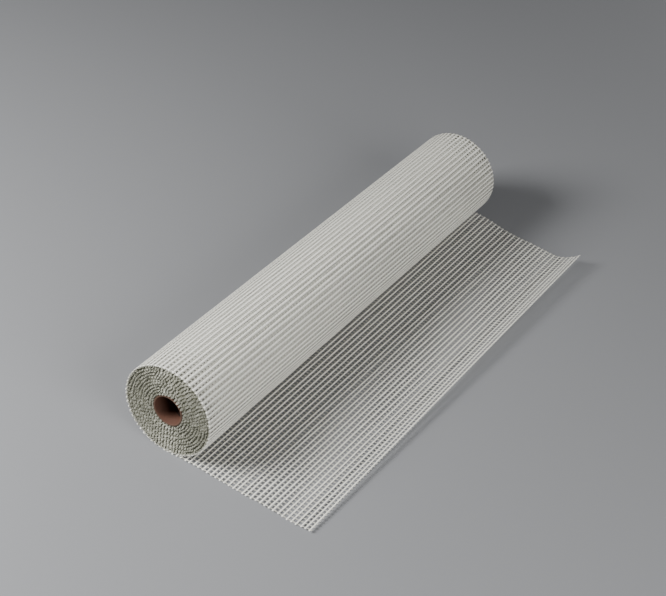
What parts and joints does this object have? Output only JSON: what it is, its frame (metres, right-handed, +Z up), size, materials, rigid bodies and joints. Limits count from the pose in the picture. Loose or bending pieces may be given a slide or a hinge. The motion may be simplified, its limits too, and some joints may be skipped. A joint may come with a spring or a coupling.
{
  "type": "roll of fiberglass mesh",
  "caption": "Roll of open-weave fiberglass reinforcing mesh wound on a cardboard core tube, lying on its side with the loose end of the web unrolled in front of it.",
  "frame": {"origin": "the middle of the footprint, on the floor that the roll and its loose end lie on", "axes": "+X along the roll's axis, the web's width, towards its far end; +Z up; the loose end lies towards -Y and the wound roll towards +Y"},
  "size_m": [1, 0.3999, 0.1797],
  "materials": {
    "fiberglass_mesh": "resin-coated glass yarn, off-white, satin",
    "core_board": "brown spiral-wound paper board, matt"
  },
  "bodies": {
    "root": {"mesh_web": "fiberglass_mesh", "core_tube": "core_board"}
  },
  "joints": []
}
